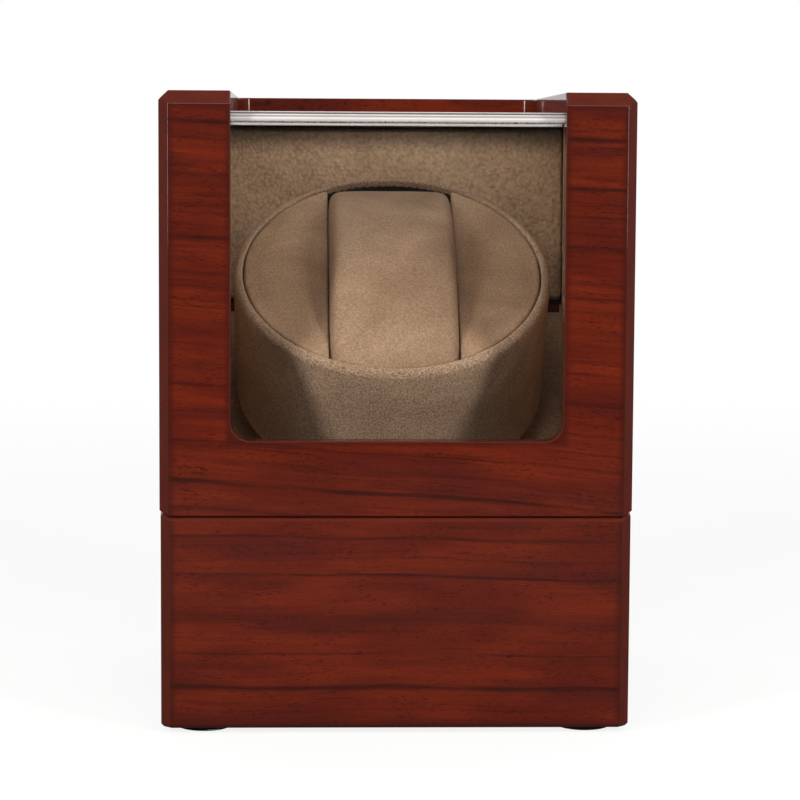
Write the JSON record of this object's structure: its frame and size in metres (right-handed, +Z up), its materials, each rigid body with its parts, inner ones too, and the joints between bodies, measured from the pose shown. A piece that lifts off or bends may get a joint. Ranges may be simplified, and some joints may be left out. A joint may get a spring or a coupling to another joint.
{
  "type": "watch winder box",
  "caption": "Lacquered wooden watch winder box: hinged lid with a bent clear window, tilted motor-driven drum with a watch cushion.",
  "frame": {"origin": "middle of the overall footprint, on the surface that the feet stand on", "axes": "+Z up, the window faces -Y, +X to the viewer's right"},
  "size_m": [0.12, 0.1296, 0.1629],
  "materials": {
    "lacquered_wood": "semi-gloss red-brown lacquer over straight grain",
    "bare_board": "raw fibreboard",
    "felt": "pressed felt",
    "flock": "short beige flock",
    "suede": "pebbled beige suede cloth",
    "velvet": "fine beige velvet with nap",
    "foam": "open cell foam",
    "clear_acrylic": "polished clear sheet",
    "moulded_plastic": "fine moulded texture",
    "gear_plastic": "natural acetal",
    "black_plastic": "satin black",
    "steel": "bright zinc plated",
    "brass": "satin brass",
    "plated_contact": "nickel plated",
    "circuit_board": "solder-masked laminate",
    "lead_insulation": "PVC insulation"
  },
  "bodies": {
    "base": {"base_front": "lacquered_wood", "base_left": "lacquered_wood", "base_right": "lacquered_wood", "base_back": "lacquered_wood", "base_bottom": "bare_board", "feet": "felt", "base_linings": "flock", "base_magnets": "steel", "deck_board": "bare_board", "deck_lining": "suede", "deck_battens": "bare_board", "gearbox_cover": "moulded_plastic", "gearbox_housing": "moulded_plastic", "gearbox_screws": "steel", "output_bush": "brass", "idler_pins": "steel", "motor_case": "steel", "motor_screws": "steel", "motor_leads": "lead_insulation", "power_leads": "lead_insulation", "control_board": "circuit_board", "board_standoffs": "moulded_plastic", "board_components": "black_plastic", "control_plate": "black_plastic", "plate_screws": "plated_contact", "dc_jack": "black_plastic", "dc_jack_contact": "plated_contact", "mode_switch": "black_plastic", "power_switch": "black_plastic", "hinge_base_leaves": "brass", "hinge_base_screws": "brass", "hinge_pins": "brass"},
    "lid": {"lid_front": "lacquered_wood", "lid_left": "lacquered_wood", "lid_right": "lacquered_wood", "lid_back": "lacquered_wood", "lid_top": "lacquered_wood", "window": "clear_acrylic", "lid_lining_back": "suede", "lid_lining_sides": "flock", "lid_strikes": "steel", "hinge_lid_leaves": "brass", "hinge_lid_screws": "brass"},
    "drum": {"drum_cup": "moulded_plastic", "drum_cover": "velvet", "drum_pad_left": "velvet", "drum_pad_right": "velvet", "drum_hub": "moulded_plastic", "hub_screws": "steel", "output_shaft": "steel", "output_gear": "gear_plastic"},
    "idler_2": {"idler_2": "gear_plastic"},
    "idler_1": {"idler_1": "gear_plastic"},
    "motor_rotor": {"motor_armature": "steel", "motor_pinion": "gear_plastic"},
    "cushion": {"cushion_core": "foam", "cushion_cover": "velvet"},
    "mode_knob": {"mode_knob": "black_plastic"},
    "power_rocker": {"power_rocker": "black_plastic"}
  },
  "joints": [
    {"name": "lid_hinge", "type": "hinge", "parent": "base", "child": "lid", "pos_m": [0, 0.0575, 0.10858], "axis": [-1, 0, 0], "range_deg": [0, 95]},
    {"name": "drum_spin", "type": "hinge", "parent": "base", "child": "drum", "pos_m": [0, -0.0188, 0.1165], "axis": [0, -0.5878, 0.809], "continuous": true},
    {"name": "idler_2_spin", "type": "hinge", "parent": "base", "child": "idler_2", "pos_m": [-0.01305, 0.01419, 0.06074], "axis": [0, -0.5878, 0.809], "continuous": true},
    {"name": "idler_1_spin", "type": "hinge", "parent": "base", "child": "idler_1", "pos_m": [-0.00932, 0.00294, 0.05257], "axis": [0, -0.5878, 0.809], "continuous": true},
    {"name": "motor_spin", "type": "hinge", "parent": "base", "child": "motor_rotor", "pos_m": [0.00508, 0.00294, 0.05257], "axis": [0, -0.5878, 0.809], "continuous": true},
    {"name": "cushion_slide", "type": "slide", "parent": "drum", "child": "cushion", "axis": [0, -0.5878, 0.809], "range_m": [0, 0.007]},
    {"name": "mode_turn", "type": "hinge", "parent": "base", "child": "mode_knob", "pos_m": [0, 0.05655, 0.0315], "axis": [0, 1, 0], "range_deg": [-60, 60]},
    {"name": "power_rock", "type": "hinge", "parent": "base", "child": "power_rocker", "pos_m": [0.026, 0.05595, 0.0315], "axis": [1, 0, 0], "range_deg": [0, 12]}
  ],
  "couplings": [
    {"joint": "idler_2_spin", "follows": "drum_spin", "ratio": -3},
    {"joint": "idler_1_spin", "follows": "drum_spin", "ratio": 9},
    {"joint": "motor_spin", "follows": "drum_spin", "ratio": -27}
  ]
}
